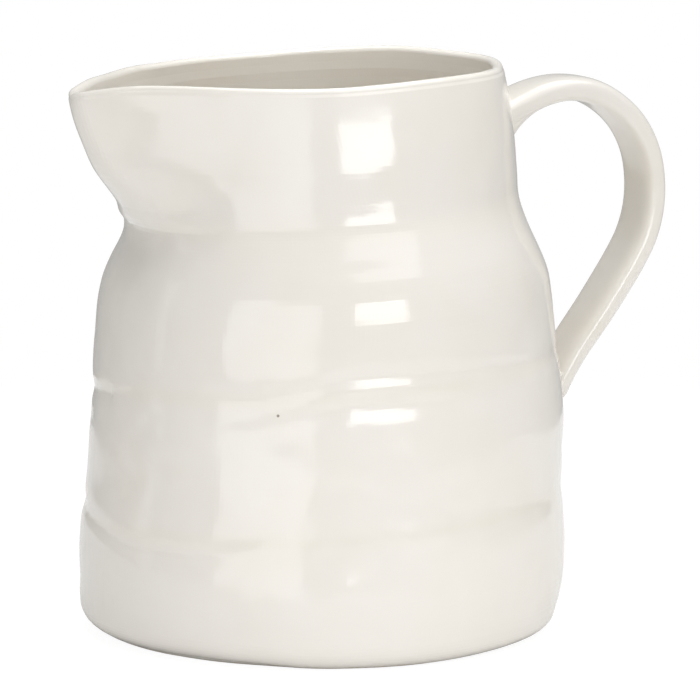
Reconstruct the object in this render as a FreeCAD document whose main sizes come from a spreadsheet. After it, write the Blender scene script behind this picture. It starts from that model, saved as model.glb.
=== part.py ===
"""Hand-built ceramic pitcher, in millimetres.

The pot stands on z = 0 with its axis on Z. The pouring lip points along -X and the handle
along +X. The wall is built up in four bands of clay round a floor slab, and the lip and the
strap handle are luted on. Each band leans a little, so its seams rise towards the handle.
"""

import FreeCAD
import Part
import Sketcher

import math
import os

DOCUMENT = "pitcher"
SHEET = "Sizes"
PARTS_FOLDER = "parts"

# name, value in millimetres or degrees, what it is
SIZES = (
    ("rim_height", 200.3, "axis height of the rim line, and the overall height"),
    ("wall", 4.8, "thickness of the banded wall"),
    ("lip", 3.8, "thickness of the wall at the rim"),
    ("lip_round", 1.5, "rounding of both edges of the rim"),
    ("base_radius", 85.0, "outside radius at the table before the corner is rounded, and the width"),
    ("base_round", 9.5, "rounding of the bottom corner"),
    ("heel_height", 20.0, "height of the widest part of the lower band"),
    ("heel_step", 1.2, "how much wider than the base the wall is there"),
    ("lower_seam_height", 47.0, "axis height of the seam on top of the lower band"),
    ("lower_seam_step", 0.2, "step in radius there from the base, before the groove"),
    ("belly_height", 74.0, "height of the widest part of the middle band"),
    ("belly_step", -1.3, "step in radius there from the base"),
    ("upper_seam_height", 96.0, "axis height of the seam on top of the middle band"),
    ("upper_seam_step", -2.2, "step in radius there from the base, before the groove"),
    ("shoulder_height", 118.0, "height where the shoulder starts to turn in"),
    ("shoulder_step", -4.1, "step in radius there from the base"),
    ("slope_height", 134.5, "height half way up the shoulder's slope"),
    ("slope_step", -9.6, "step in radius there from the base"),
    ("waist_height", 150.0, "axis height of the seam under the neck"),
    ("waist_step", -14.4, "step in radius there from the base"),
    ("neck_height", 172.0, "height half way up the neck"),
    ("neck_step", -15.8, "step in radius there from the base"),
    ("rim_step", -19.6, "step in radius at the rim from the base"),
    ("groove_depth", 1.4, "depth of the soft groove along a seam"),
    ("groove_width", 4.0, "half width of that groove"),
    ("lower_seam_tilt", 3.4, "rise of the lower seam towards the handle, in degrees"),
    ("upper_seam_tilt", 3.1, "rise of the upper seam, in degrees"),
    ("waist_tilt", 2.4, "rise of the seam under the neck, in degrees"),
    ("rim_tilt", 1.4, "rise of the rim line, in degrees"),
    ("belly_lean", 2.1, "how far the belly leans towards the handle"),
    ("lean_height", 100.0, "height in the middle of that lean"),
    ("lean_span", 58.0, "height over which it dies away"),
    ("seam_bevel", 30.0, "slope of the joint between two bands, in degrees"),
    ("lip_reach", 31.0, "how far the pouring lip stands out past the neck"),
    ("lip_tip_radius", 9.0, "plan radius of the pouring tip"),
    ("notch_height", 152.0, "height of the point of the neck's notch for the pouring lip"),
    ("notch_half_width", 47.0, "half width of the notch at the rim line"),
    ("dip_start", 45.0, "distance from the axis where the rim starts to dip"),
    ("dip_radius", 430.0, "radius of the dip of the rim line over the pouring lip"),
    ("floor_thickness", 7.0, "thickness of the floor slab"),
    ("floor_margin", 1.5, "width of the lower band's own flat ring round the slab's underside"),
    ("floor_spread", 4.0, "how much wider the slab's lower face is than its upper face"),
    ("cove", 8.0, "inside rounding between wall and floor"),
    ("foot_width", 12.0, "width of the slab's flat ring round the shallow hollow underneath"),
    ("hollow_depth", 1.5, "depth of that hollow"),
    ("strap_width", 23.0, "width of the handle strap"),
    ("strap_thickness", 9.8, "thickness of the strap"),
    ("strap_round", 3.8, "rounding of the strap's edges"),
    ("crown_radius", 34.8, "radius of the handle's upper arc, on its middle line"),
    ("crown_reach", 25.4, "how far that arc's centre stands off the neck's surface"),
    ("crown_height", 153.0, "height of that arc's centre"),
    ("root_rise", 23.0, "slope of the strap where it leaves the neck, in degrees"),
    ("root_depth", 10.0, "how far the blank of the strap runs in past the neck's surface"),
    ("back_radius", 54.0, "radius of the bend below the crown"),
    ("tail_radius", 30.0, "radius of the bend at the tail"),
    ("tail_reach", 3.2, "how far the middle line's lower end stands off the belly"),
    ("handle_drop", 80.0, "how far the middle line's lower end lies under the crown arc's centre"),
    ("tail_round", 3.0, "rounding of the tail's end"),
    ("upper_luting_drop", 6.03, "how far the upper luting clay's middle lies under the strap's"),
    ("upper_luting_half_height", 19.0, "half its height on the wall"),
    ("upper_luting_half_width", 16.5, "half its width on the wall"),
    ("lower_luting_lift", 7.0, "how far the lower luting clay's middle lies above the tail"),
    ("lower_luting_half_height", 15.0, "half its height on the wall"),
    ("lower_luting_half_width", 16.0, "half its width on the wall"),
    ("upper_luting_depth", 9.0, "how far the upper luting clay stands off the wall"),
    ("lower_luting_depth", 6.0, "how far the lower luting clay stands off the wall"),
)

# how a section's points are spread from the tip to the back: share of the length reached, how many
OUTLINE_STEPS = ((0.054, 6), (0.18, 7), (1.0, 20))
SEAM_STEPS = (-7.5, -5.0, -2.5, 0.0, 2.5, 5.0, 7.5)  # sections close to a seam, in millimetres
EASY_STEPS = (0.17, 0.33, 0.5, 0.67, 0.83)  # sections between two seams, as shares of the gap
CORNER_STEPS = 6  # sections round the bottom corner
OVERSHOOT = 8.0  # how far tools and lofts run past the surface that they cut
REACH = 160.0  # half the size of a cutting tool, past everything
LIP_GROWTH = 1.4  # how quickly the pouring lip's reach grows with height
TIP_CLOSING = 3.5  # how quickly its tip narrows with height

PROFILE_PLACES = (
    "heel", "lower_seam", "belly", "upper_seam", "shoulder", "slope", "waist", "neck", "rim"
)
# places that several pieces share, worked out from the sheet's cells
FLOOR_LOWER_RADIUS = f"{SHEET}.base_radius - {SHEET}.base_round - {SHEET}.floor_margin"
FLOOR_UPPER_RADIUS = f"{FLOOR_LOWER_RADIUS} - {SHEET}.floor_spread"
NECK_RADIUS = f"{SHEET}.base_radius + {SHEET}.neck_step"
BELLY_EDGE = f"{SHEET}.base_radius + {SHEET}.belly_step + {SHEET}.belly_lean"
CROWN_X = f"{NECK_RADIUS} + {SHEET}.crown_reach"
TAIL_X = f"{BELLY_EDGE} + {SHEET}.tail_reach"
TAIL_HEIGHT = f"{SHEET}.crown_height - {SHEET}.handle_drop"
ROOT_RISE = f"({SHEET}.root_rise * 1deg)"
ROOT_TOP = f"{SHEET}.crown_height + {SHEET}.crown_radius * cos({ROOT_RISE})"
ROOT_RUN = f"({SHEET}.crown_reach - {SHEET}.crown_radius * sin({ROOT_RISE}))"
ROOT_HEIGHT = f"{ROOT_TOP} - {ROOT_RUN} * tan({ROOT_RISE})"


def make_sheet(doc):
    """The spreadsheet with one aliased cell for each driving dimension."""
    sheet = doc.addObject("Spreadsheet::Sheet", SHEET)
    for row, (name, value, meaning) in enumerate(SIZES, start=1):
        sheet.set(f"A{row}", meaning)
        sheet.set(f"B{row}", str(value))
        sheet.setAlias(f"B{row}", name)
    doc.recompute()
    return sheet


class Wall:
    """The free-form wall. Its sizes are read from the sheet and its sections are lofted."""

    def __init__(self, sheet):
        self.size = {name: float(getattr(sheet, name)) for name, _, _ in SIZES}
        size = self.size
        self.top = size["rim_height"] + OVERSHOOT
        points = [FreeCAD.Vector(size["base_radius"], 0, 0)]
        for place in PROFILE_PLACES:
            size[f"{place}_radius"] = size["base_radius"] + size[f"{place}_step"]
            points.append(FreeCAD.Vector(size[f"{place}_radius"], 0, size[f"{place}_height"]))
        points.append(FreeCAD.Vector(size["rim_radius"] - size["lip_round"], 0, self.top))
        self.profile = Part.BSplineCurve()
        self.profile.interpolate(points)

    def radius_at(self, height):
        """Outside radius of the smooth profile at a height on the axis."""
        low, high = self.profile.FirstParameter, self.profile.LastParameter
        for _ in range(40):
            middle = (low + high) / 2
            if self.profile.value(middle).z < height:
                low = middle
            else:
                high = middle
        return self.profile.value(low).x

    def groove_at(self, height):
        """Depth of the seam grooves at a height on the axis."""
        size = self.size
        depth = 0.0
        for seam in ("lower_seam_height", "upper_seam_height"):
            offset = (height - size[seam]) / size["groove_width"]
            depth += size["groove_depth"] * math.exp(-(offset**2))
        return depth

    def tilt_at(self, height):
        """Slope of the section planes: level up to the heel, and at each seam the seam's own."""
        size = self.size
        low, start = size["heel_height"], 0.0
        if height <= low:
            return start
        for place in ("lower_seam", "upper_seam", "waist", "rim"):
            high = size[f"{place}_height"]
            end = math.tan(math.radians(size[f"{place}_tilt"]))
            if height <= high:
                return start + (end - start) * (height - low) / (high - low)
            low, start = high, end
        return start

    def lean_at(self, height):
        """How far a section's centre stands towards the handle."""
        size = self.size
        offset = (height - size["lean_height"]) / size["lean_span"]
        return size["belly_lean"] * math.exp(-(offset**4))

    def neck_share(self, height):
        """0 under the waist, growing to 1 at the rim line."""
        size = self.size
        share = (height - size["waist_height"]) / (size["rim_height"] - size["waist_height"])
        return min(max(share, 0.0), 1.0)

    def thickness_at(self, height):
        """Wall thickness: full up to the waist, thinning to the lip."""
        size = self.size
        return size["wall"] + (size["lip"] - size["wall"]) * self.neck_share(height)

    def outline_at(self, height, inset):
        """Points round one section, level and centred, from +X round past -X.

        Above the waist the section is a round neck and a small round tip, joined by the
        two lines that touch both. Points are shared out by length, closer at the tip."""
        size = self.size
        neck = self.radius_at(height) - inset
        share = self.neck_share(height)
        full_tip = size["lip_tip_radius"]
        tip = full_tip + (neck + inset - full_tip) * (1 - share) ** TIP_CLOSING - inset
        centre = neck - tip + size["lip_reach"] * (1 - (1 - share) ** LIP_GROWTH)
        if centre <= 0:
            tangent, line = 0.0, 0.0
        else:
            tangent = math.pi / 2 - math.asin(min((neck - tip) / centre, 1.0))
            line = math.sqrt(max(centre**2 - (neck - tip) ** 2, 0.0))
        arc = tip * tangent
        half = arc + line + neck * (math.pi - tangent)
        right = []
        for place in HALF_OUTLINE:
            length = place * half
            if length < arc:
                turn = length / tip
                point = (centre + tip * math.cos(turn), tip * math.sin(turn))
            elif length < arc + line:
                along = length - arc
                x = centre + tip * math.cos(tangent) - along * math.sin(tangent)
                point = (x, tip * math.sin(tangent) + along * math.cos(tangent))
            else:
                turn = tangent + (length - arc - line) / neck
                point = (neck * math.cos(turn), neck * math.sin(turn))
            right.append(point)
        outline = [(-x, y) for x, y in reversed(right)]
        outline.extend((-x, -y) for x, y in right[1:-1])
        return outline

    def section(self, height, level, inset):
        """One closed curve in its tilted plane, for a profile height and an actual height."""
        tilt, lean = self.tilt_at(level), self.lean_at(level)
        points = []
        for x, y in self.outline_at(height, inset):
            points.append(FreeCAD.Vector(lean + x, y, level + tilt * (lean + x)))
        curve = Part.BSplineCurve()
        curve.interpolate(Points=points, PeriodicFlag=True, Parameters=AROUND)
        return curve

    def heights(self, low):
        """Heights of the sections: close together at the seams, easy between them."""
        size = self.size
        levels = []
        stops = [low]
        for place in ("lower_seam", "upper_seam", "waist"):
            seam = size[f"{place}_height"]
            levels.extend(seam + step for step in SEAM_STEPS)
            stops.extend((seam + SEAM_STEPS[0], seam + SEAM_STEPS[-1]))
        stops.append(self.top)
        levels.append(self.top)
        for start, end in zip(stops[::2], stops[1::2]):
            levels.extend(start + share * (end - start) for share in EASY_STEPS)
        return sorted(levels)

    def skin(self, floor, corner, inset_at):
        """The solid inside a surface that runs up the wall from a rounded corner.

        The sections share their parameters, so the surface's poles are found by passing
        a curve through each row of the sections' own poles."""
        curves, params, before = [], [0.0], None
        stations = []
        for step in range(CORNER_STEPS + 1):
            turn = math.pi / 2 * step / CORNER_STEPS
            level = floor + corner * (1 - math.cos(turn))
            stations.append((floor + corner, level, corner * (1 - math.sin(turn))))
        for height in self.heights(floor + corner):
            stations.append((height, height, 0.0))
        for height, level, extra in stations:
            inset = inset_at(height) + extra
            curves.append(self.section(height, level, inset))
            here = FreeCAD.Vector(self.radius_at(height) - inset, level, 0)
            if before is not None:
                params.append(params[-1] + (here - before).Length)
            before = here
        rows = []
        for pole in range(curves[0].NbPoles):
            rail = Part.BSplineCurve()
            rail.interpolate(Points=[curve.getPole(pole + 1) for curve in curves], Parameters=params)
            rows.append(rail)
        surface = Part.BSplineSurface()
        surface.buildFromPolesMultsKnots(
            [rail.getPoles() for rail in rows],
            curves[0].getMultiplicities(),
            rows[0].getMultiplicities(),
            curves[0].getKnots(),
            rows[0].getKnots(),
            True,
            False,
            curves[0].Degree,
            rows[0].Degree,
        )
        side = surface.toShape()
        caps = [edge for edge in side.Edges if len(edge.Vertexes) == 1]
        faces = [side] + [Part.Face(Part.Wire([edge])) for edge in caps]
        shell = Part.makeShell(faces)
        shell.sewShape()
        solid = Part.makeSolid(shell)
        if solid.Volume < 0:
            solid.reverse()
        return solid

    def outside(self):
        """The solid inside the outer surface."""
        return self.skin(0.0, self.size["base_round"], self.groove_at)

    def inside(self):
        """The solid inside the inner surface, from the floor's upper face."""
        size = self.size
        return self.skin(size["floor_thickness"], size["cove"], self.thickness_at)


def outline_places():
    """Places along half a section, from the tip to the back, as shares of its length."""
    places = [0.0]
    for end, count in OUTLINE_STEPS:
        start = places[-1]
        places.extend(start + (end - start) * (step + 1) / count for step in range(count))
    return places


HALF_OUTLINE = outline_places()
AROUND = [1 - place for place in reversed(HALF_OUTLINE)] + [1 + place for place in HALF_OUTLINE[1:]]


def feature(doc, name, shape):
    """A document object that holds a free-form shape."""
    made = doc.addObject("Part::Feature", name)
    made.Shape = shape
    return made


def boolean(doc, kind, name, base, tool):
    """Part::Cut or Part::Common of two document objects."""
    made = doc.addObject(f"Part::{kind}", name)
    made.Label = name
    made.Base = base
    made.Tool = tool
    return made


def make_body(doc, name):
    """An empty body."""
    body = doc.addObject("PartDesign::Body", name)
    body.Label = name
    return body


def origin_plane(body, role):
    """One of a body's own three base planes."""
    return next(item for item in body.Origin.OriginFeatures if item.Role == role)


def make_sketch(body, name, role):
    """A sketch on one of a body's base planes."""
    sketch = body.newObject("Sketcher::SketchObject", name)
    sketch.AttachmentSupport = [(origin_plane(body, role), "")]
    sketch.MapMode = "FlatFace"
    return sketch


def drive(sketch, kind, where, start_value, expression=None):
    """Add a driving dimension to a sketch, bound to the sheet if there is an expression."""
    index = sketch.addConstraint(Sketcher.Constraint(kind, *where, start_value))
    if expression:
        sketch.setExpression(f"Constraints[{index}]", expression)


def add_lines(sketch, points):
    """Closed outline of straight lines through the points; returns their indices."""
    lines = []
    for start, end in zip(points, points[1:] + points[:1]):
        first = FreeCAD.Vector(*start, 0)
        second = FreeCAD.Vector(*end, 0)
        lines.append(sketch.addGeometry(Part.LineSegment(first, second), False))
    for line, following in zip(lines, lines[1:] + lines[:1]):
        sketch.addConstraint(Sketcher.Constraint("Coincident", line, 2, following, 1))
    return lines


def make_floor_slab(doc, size):
    """Round slab with a bevelled edge and a shallow hollow underneath."""
    body = make_body(doc, "floor_slab")
    sketch = make_sketch(body, "floor_section", "XZ_Plane")
    wide = size["base_radius"] - size["base_round"] - size["floor_margin"]
    top, inner = wide - size["floor_spread"], wide - size["foot_width"]
    deep, thick = size["hollow_depth"], size["floor_thickness"]
    points = [(0, deep), (inner, deep), (inner, 0), (wide, 0), (top, thick), (0, thick)]
    ceiling, step, underside, bevel, upper, axis = add_lines(sketch, points)
    for line in (ceiling, underside, upper):
        sketch.addConstraint(Sketcher.Constraint("Horizontal", line))
    for line in (step, axis):
        sketch.addConstraint(Sketcher.Constraint("Vertical", line))
    sketch.addConstraint(Sketcher.Constraint("PointOnObject", ceiling, 1, -2))
    sketch.addConstraint(Sketcher.Constraint("PointOnObject", underside, 1, -1))
    drive(sketch, "DistanceX", (step, 2, underside, 2), wide - inner, f"{SHEET}.foot_width")
    drive(sketch, "DistanceY", (-1, 1, ceiling, 1), deep, f"{SHEET}.hollow_depth")
    drive(sketch, "DistanceY", (-1, 1, upper, 1), thick, f"{SHEET}.floor_thickness")
    drive(sketch, "DistanceX", (-1, 1, underside, 2), wide, FLOOR_LOWER_RADIUS)
    drive(sketch, "DistanceX", (upper, 1, underside, 2), wide - top, f"{SHEET}.floor_spread")
    turned = body.newObject("PartDesign::Revolution", "floor_disc")
    turned.Profile = sketch
    turned.ReferenceAxis = (sketch, ["V_Axis"])
    turned.Angle = 360
    return body


def make_floor_bore(doc):
    """Tool that makes room for the floor slab in the lower band."""
    bore = doc.addObject("Part::Cone", "floor_bore")
    bore.setExpression("Radius1", FLOOR_LOWER_RADIUS)
    bore.setExpression("Radius2", FLOOR_UPPER_RADIUS)
    bore.setExpression("Height", f"{SHEET}.floor_thickness")
    return bore


def make_seam_tool(doc, place):
    """Everything above one seam: a cone that opens upwards and leans with the seam.

    The bottom of the seam's groove lies on the cone, so the joint is a bevelled ring."""
    tool = doc.addObject("Part::Cone", f"above_{place}")
    upright = FreeCAD.Vector(0, -1, 0)
    tool.Placement = FreeCAD.Placement(FreeCAD.Vector(), FreeCAD.Rotation(upright, 1))
    bevel = f"tan({SHEET}.seam_bevel * 1deg)"
    half = f"({SHEET}.base_radius + {SHEET}.{place}_step - {SHEET}.groove_depth) / 2"
    tilt = f"({SHEET}.{place}_tilt * 1deg)"
    height = f"{SHEET}.{place}_height"
    offset = f"(({height} - {SHEET}.lean_height) / {SHEET}.lean_span)"
    lean = f"{SHEET}.belly_lean * exp(-({offset} ^ 4))"
    tool.setExpression("Radius1", half)
    rise = f"({SHEET}.rim_height + {REACH})"
    tool.setExpression("Radius2", f"{half} + {rise} / {bevel}")
    tool.setExpression("Height", rise)
    tool.setExpression("Placement.Base.x", f"{lean} + {half} * {bevel} * sin({tilt})")
    tool.setExpression("Placement.Base.z", f"{height} - {half} * {bevel}")
    tool.setExpression("Placement.Rotation.Angle", tilt)
    return tool


def make_rim_tool(doc, size):
    """Everything above the rim line, which rises to the handle and dips over the pouring lip."""
    body = make_body(doc, "above_rim")
    sketch = make_sketch(body, "rim_line", "XZ_Plane")
    slope = math.tan(math.radians(size["rim_tilt"]))
    start = size["dip_start"]
    knee = FreeCAD.Vector(-start, size["rim_height"] - slope * start, 0)
    far = FreeCAD.Vector(REACH, size["rim_height"] + slope * REACH, 0)
    turn = math.radians(90 + size["rim_tilt"])
    radius = size["dip_radius"]
    middle = knee - radius * FreeCAD.Vector(math.cos(turn), math.sin(turn), 0)
    span = math.asin((middle.x + REACH) / radius)
    circle = Part.Circle(middle, FreeCAD.Vector(0, 0, 1), radius)
    dip = sketch.addGeometry(Part.ArcOfCircle(circle, turn, math.pi / 2 + span), False)
    low = FreeCAD.Vector(-REACH, middle.y + radius * math.cos(span), 0)
    roof = size["rim_height"] + REACH
    corners = [knee, far, FreeCAD.Vector(REACH, roof, 0), FreeCAD.Vector(-REACH, roof, 0), low]
    lines = []
    for first, second in zip(corners, corners[1:]):
        lines.append(sketch.addGeometry(Part.LineSegment(first, second), False))
    for line, following in zip(lines, lines[1:]):
        sketch.addConstraint(Sketcher.Constraint("Coincident", line, 2, following, 1))
    rim, right, upper, left = lines
    sketch.addConstraint(Sketcher.Constraint("Tangent", rim, 1, dip, 1))
    sketch.addConstraint(Sketcher.Constraint("Coincident", left, 2, dip, 2))
    sketch.addConstraint(Sketcher.Constraint("Vertical", right))
    sketch.addConstraint(Sketcher.Constraint("Vertical", left))
    sketch.addConstraint(Sketcher.Constraint("Horizontal", upper))
    height = f"{SHEET}.rim_height"
    rise = f"tan({SHEET}.rim_tilt * 1deg)"
    knee_height = f"{height} - {rise} * {SHEET}.dip_start"
    drive(sketch, "DistanceX", (rim, 1, -1, 1), start, f"{SHEET}.dip_start")
    drive(sketch, "DistanceY", (-1, 1, rim, 1), knee.y, knee_height)
    drive(sketch, "Angle", (rim,), math.radians(size["rim_tilt"]), f"{SHEET}.rim_tilt * 1deg")
    drive(sketch, "Radius", (dip,), radius, f"{SHEET}.dip_radius")
    drive(sketch, "DistanceX", (-1, 1, right, 1), REACH)
    drive(sketch, "DistanceX", (left, 1, -1, 1), REACH)
    drive(sketch, "DistanceY", (-1, 1, right, 2), roof, f"{height} + {REACH}")
    pad = body.newObject("PartDesign::Pad", "rim_block")
    pad.Profile = sketch
    pad.Midplane = True
    pad.Length = 2 * REACH
    return body


def make_notch_tool(doc, size):
    """The V-shaped notch of the neck that the pouring lip fills."""
    body = make_body(doc, "lip_notch")
    sketch = make_sketch(body, "notch_outline", "YZ_Plane")
    low, high = size["notch_height"], size["rim_height"]
    roof = high + REACH
    half = size["notch_half_width"] * (roof - low) / (high - low)
    points = [(0, low), (half, roof), (-half, roof)]
    right, upper, left = add_lines(sketch, points)
    sketch.addConstraint(Sketcher.Constraint("PointOnObject", right, 1, -2))
    sketch.addConstraint(Sketcher.Constraint("Symmetric", right, 2, left, 1, -2))
    top = f"({SHEET}.rim_height + {REACH})"
    share = f"({top} - {SHEET}.notch_height) / ({SHEET}.rim_height - {SHEET}.notch_height)"
    width = f"2 * {SHEET}.notch_half_width * {share}"
    drive(sketch, "DistanceY", (-1, 1, right, 1), low, f"{SHEET}.notch_height")
    drive(sketch, "DistanceY", (-1, 1, right, 2), roof, top)
    drive(sketch, "DistanceX", (left, 1, right, 2), 2 * half, width)
    pad = body.newObject("PartDesign::Pad", "notch_block")
    pad.Profile = sketch
    pad.Reversed = True
    pad.Length = REACH
    return body


def draw_strap_path(path, size):
    """Middle line of the strap from the tail up to the root: arc, line, arc, arc, line."""
    crown = FreeCAD.Vector(size["neck_radius"] + size["crown_reach"], size["crown_height"], 0)
    crown_radius, back_radius = size["crown_radius"], size["back_radius"]
    back = crown + FreeCAD.Vector(crown_radius - back_radius, 0, 0)
    tail_radius = size["tail_radius"]
    tail_x = size["belly_radius"] + size["belly_lean"] + size["tail_reach"]
    tail_height = size["crown_height"] - size["handle_drop"]
    tail = FreeCAD.Vector(tail_x + tail_radius, tail_height, 0)
    between = back - tail
    crossing = math.acos(-(back_radius + tail_radius) / between.Length)
    turn = math.atan2(between.y, between.x) - crossing
    outward = FreeCAD.Vector(math.cos(turn), math.sin(turn), 0)
    rise = math.radians(size["root_rise"])
    top = crown + crown_radius * FreeCAD.Vector(-math.sin(rise), math.cos(rise), 0)
    start_x = size["neck_radius"] - size["root_depth"]
    root = FreeCAD.Vector(start_x, top.y - (top.x - start_x) * math.tan(rise), 0)
    up = FreeCAD.Vector(0, 0, 1)

    def add_arc(middle, radius, start, end):
        circle = Part.Circle(middle, up, radius)
        return path.addGeometry(Part.ArcOfCircle(circle, start, end), False)

    def add_line(start, end):
        return path.addGeometry(Part.LineSegment(start, end), False)

    low_arc = add_arc(tail, tail_radius, turn + math.pi, math.pi)
    straight = add_line(tail - tail_radius * outward, back + back_radius * outward)
    back_arc = add_arc(back, back_radius, turn, 0)
    crown_arc = add_arc(crown, crown_radius, 0, math.pi / 2 + rise)
    root_line = add_line(root, top)
    for first, second in (
        ((low_arc, 1), (straight, 1)),
        ((straight, 2), (back_arc, 1)),
        ((back_arc, 2), (crown_arc, 1)),
        ((crown_arc, 2), (root_line, 2)),
    ):
        path.addConstraint(Sketcher.Constraint("Tangent", *first, *second))
    path.addConstraint(Sketcher.Constraint("Horizontal", crown_arc, 3, crown_arc, 1))
    path.addConstraint(Sketcher.Constraint("Horizontal", low_arc, 3, low_arc, 2))
    drive(path, "DistanceX", (-1, 1, crown_arc, 3), crown.x, CROWN_X)
    drive(path, "DistanceY", (-1, 1, crown_arc, 3), crown.y, f"{SHEET}.crown_height")
    drive(path, "Radius", (crown_arc,), crown_radius, f"{SHEET}.crown_radius")
    drive(path, "Radius", (back_arc,), back_radius, f"{SHEET}.back_radius")
    drive(path, "Radius", (low_arc,), tail_radius, f"{SHEET}.tail_radius")
    drive(path, "DistanceX", (-1, 1, low_arc, 2), tail_x, TAIL_X)
    drive(path, "DistanceY", (-1, 1, low_arc, 2), tail_height, TAIL_HEIGHT)
    drive(path, "Angle", (root_line,), rise, f"{SHEET}.root_rise * 1deg")
    depth = f"{NECK_RADIUS} - {SHEET}.root_depth"
    drive(path, "DistanceX", (-1, 1, root_line, 1), start_x, depth)


def draw_strap_section(sketch, size):
    """Rounded rectangle across the strap, with its thickness along the sketch's X axis."""
    half_x = size["strap_thickness"] / 2
    half_y = size["strap_width"] / 2
    radius = size["strap_round"]
    up = FreeCAD.Vector(0, 0, 1)
    flats, corners = [], []
    for quarter in range(4):
        angle = quarter * math.pi / 2
        long_x, long_y = (half_x, half_y) if quarter % 2 == 0 else (half_y, half_x)
        turned = FreeCAD.Rotation(up, math.degrees(angle))
        start = turned.multVec(FreeCAD.Vector(long_x, radius - long_y, 0))
        end = turned.multVec(FreeCAD.Vector(long_x, long_y - radius, 0))
        middle = turned.multVec(FreeCAD.Vector(long_x - radius, long_y - radius, 0))
        flats.append(sketch.addGeometry(Part.LineSegment(start, end), False))
        corner = Part.ArcOfCircle(Part.Circle(middle, up, radius), angle, angle + math.pi / 2)
        corners.append(sketch.addGeometry(corner, False))
    for flat, corner, following in zip(flats, corners, flats[1:] + flats[:1]):
        sketch.addConstraint(Sketcher.Constraint("Tangent", flat, 2, corner, 1))
        sketch.addConstraint(Sketcher.Constraint("Tangent", corner, 2, following, 1))
    for corner in corners[1:]:
        sketch.addConstraint(Sketcher.Constraint("Equal", corners[0], corner))
    right, upper, left, lower = flats
    sketch.addConstraint(Sketcher.Constraint("Vertical", right))
    sketch.addConstraint(Sketcher.Constraint("Symmetric", right, 1, left, 1, -1, 1))
    drive(sketch, "Radius", (corners[0],), radius, f"{SHEET}.strap_round")
    width = f"{SHEET}.strap_width"
    thickness = f"{SHEET}.strap_thickness"
    drive(sketch, "DistanceX", (left, 1, right, 2), 2 * half_x, thickness)
    drive(sketch, "DistanceY", (lower, 1, upper, 1), 2 * half_y, width)


def make_strap_blank(doc, size):
    """The bent strap, running on past the wall at its root, with its tail's end rounded."""
    body = make_body(doc, "strap_blank")
    path = make_sketch(body, "strap_path", "XZ_Plane")
    draw_strap_path(path, size)
    section = make_sketch(body, "strap_section", "XY_Plane")
    section.setExpression("AttachmentOffset.Base.x", TAIL_X)
    section.setExpression("AttachmentOffset.Base.z", TAIL_HEIGHT)
    draw_strap_section(section, size)
    doc.recompute()
    pipe = body.newObject("PartDesign::AdditivePipe", "strap")
    pipe.Profile = section
    pipe.Spine = (path, [f"Edge{number + 1}" for number in range(path.GeometryCount)])
    pipe.Mode = "Binormal"
    pipe.Binormal = FreeCAD.Vector(0, 1, 0)
    doc.recompute()
    end = min(pipe.Shape.Faces, key=lambda face: face.CenterOfMass.z)
    rounding = body.newObject("PartDesign::Fillet", "tail_end")
    rounding.Base = (pipe, edge_names(pipe.Shape, end.Edges))
    rounding.setExpression("Radius", f"{SHEET}.tail_round")
    return body


def edge_names(shape, edges):
    """Names of some of a shape's edges."""
    names = []
    for number, edge in enumerate(shape.Edges, start=1):
        if any(edge.isSame(other) for other in edges):
            names.append(f"Edge{number}")
    return names


def round_rim(doc, size, base):
    """Both edges of the rim rounded."""
    doc.recompute()
    low = size["rim_height"] - OVERSHOOT
    tops = []
    for face in base.Shape.Faces:
        if all(vertex.Z > low for vertex in face.Vertexes):
            tops.append(face)
    outlines = []
    for face in tops:
        others = [edge for other in tops if not other.isSame(face) for edge in other.Edges]
        for edge in face.Edges:
            if not any(edge.isSame(other) for other in others):
                outlines.append(edge)
    rounded = doc.addObject("Part::Fillet", "rounded_rim")
    rounded.Base = base
    radius = size["lip_round"]
    numbers = [int(name[4:]) for name in edge_names(base.Shape, outlines)]
    rounded.Edges = [(number, radius, radius) for number in numbers]
    return rounded


def make_bands(doc, size, wall_blank):
    """The wall split at its seams, from the floor up."""
    rest = boolean(doc, "Cut", "wall_above_floor", wall_blank, make_floor_bore(doc))
    bands = []
    for band, place in (
        ("lower_band", "lower_seam"),
        ("middle_band", "upper_seam"),
        ("shoulder_band", "waist"),
    ):
        above = make_seam_tool(doc, place)
        bands.append(boolean(doc, "Cut", band, rest, above))
        rest = boolean(doc, "Common", f"wall_above_{place}", rest, above)
    notch = make_notch_tool(doc, size)
    bands.append(boolean(doc, "Cut", "neck_band", rest, notch))
    bands.append(boolean(doc, "Common", "pouring_lip", rest, notch))
    return bands


def make_luting(doc, name, radius, height, outer, strap):
    """A collar of soft clay pressed round one end of the strap."""
    blank = doc.addObject("Part::Ellipsoid", f"{name}_blank")
    blank.setExpression("Radius1", f"{SHEET}.{name}_half_height")
    blank.setExpression("Radius2", f"{SHEET}.{name}_depth")
    blank.setExpression("Radius3", f"{SHEET}.{name}_half_width")
    away = FreeCAD.Rotation(FreeCAD.Vector(0, 0, 1), 180)  # its seam lies inside the wall
    blank.Placement = FreeCAD.Placement(FreeCAD.Vector(), away)
    blank.setExpression("Placement.Base.x", radius)
    blank.setExpression("Placement.Base.z", height)
    seated = boolean(doc, "Cut", f"{name}_seated", blank, outer)
    return boolean(doc, "Cut", name, seated, strap)


def check_and_export(doc, parts):
    """Stop on any failed object or bad shape, then write one file for each part."""
    for item in doc.Objects:
        if "Invalid" in item.State or "Error" in item.State:
            raise RuntimeError(f"{item.Name} failed: {item.State}")
    for part in parts:
        if part.Shape.isNull() or not part.Shape.isValid():
            raise RuntimeError(f"{part.Label} has no valid shape")
        if len(part.Shape.Solids) != 1:
            raise RuntimeError(f"{part.Label} has {len(part.Shape.Solids)} solids, not one")
    os.makedirs(PARTS_FOLDER, exist_ok=True)
    for part in parts:
        part.Shape.exportStep(f"{PARTS_FOLDER}/{part.Label}.step")


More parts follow.
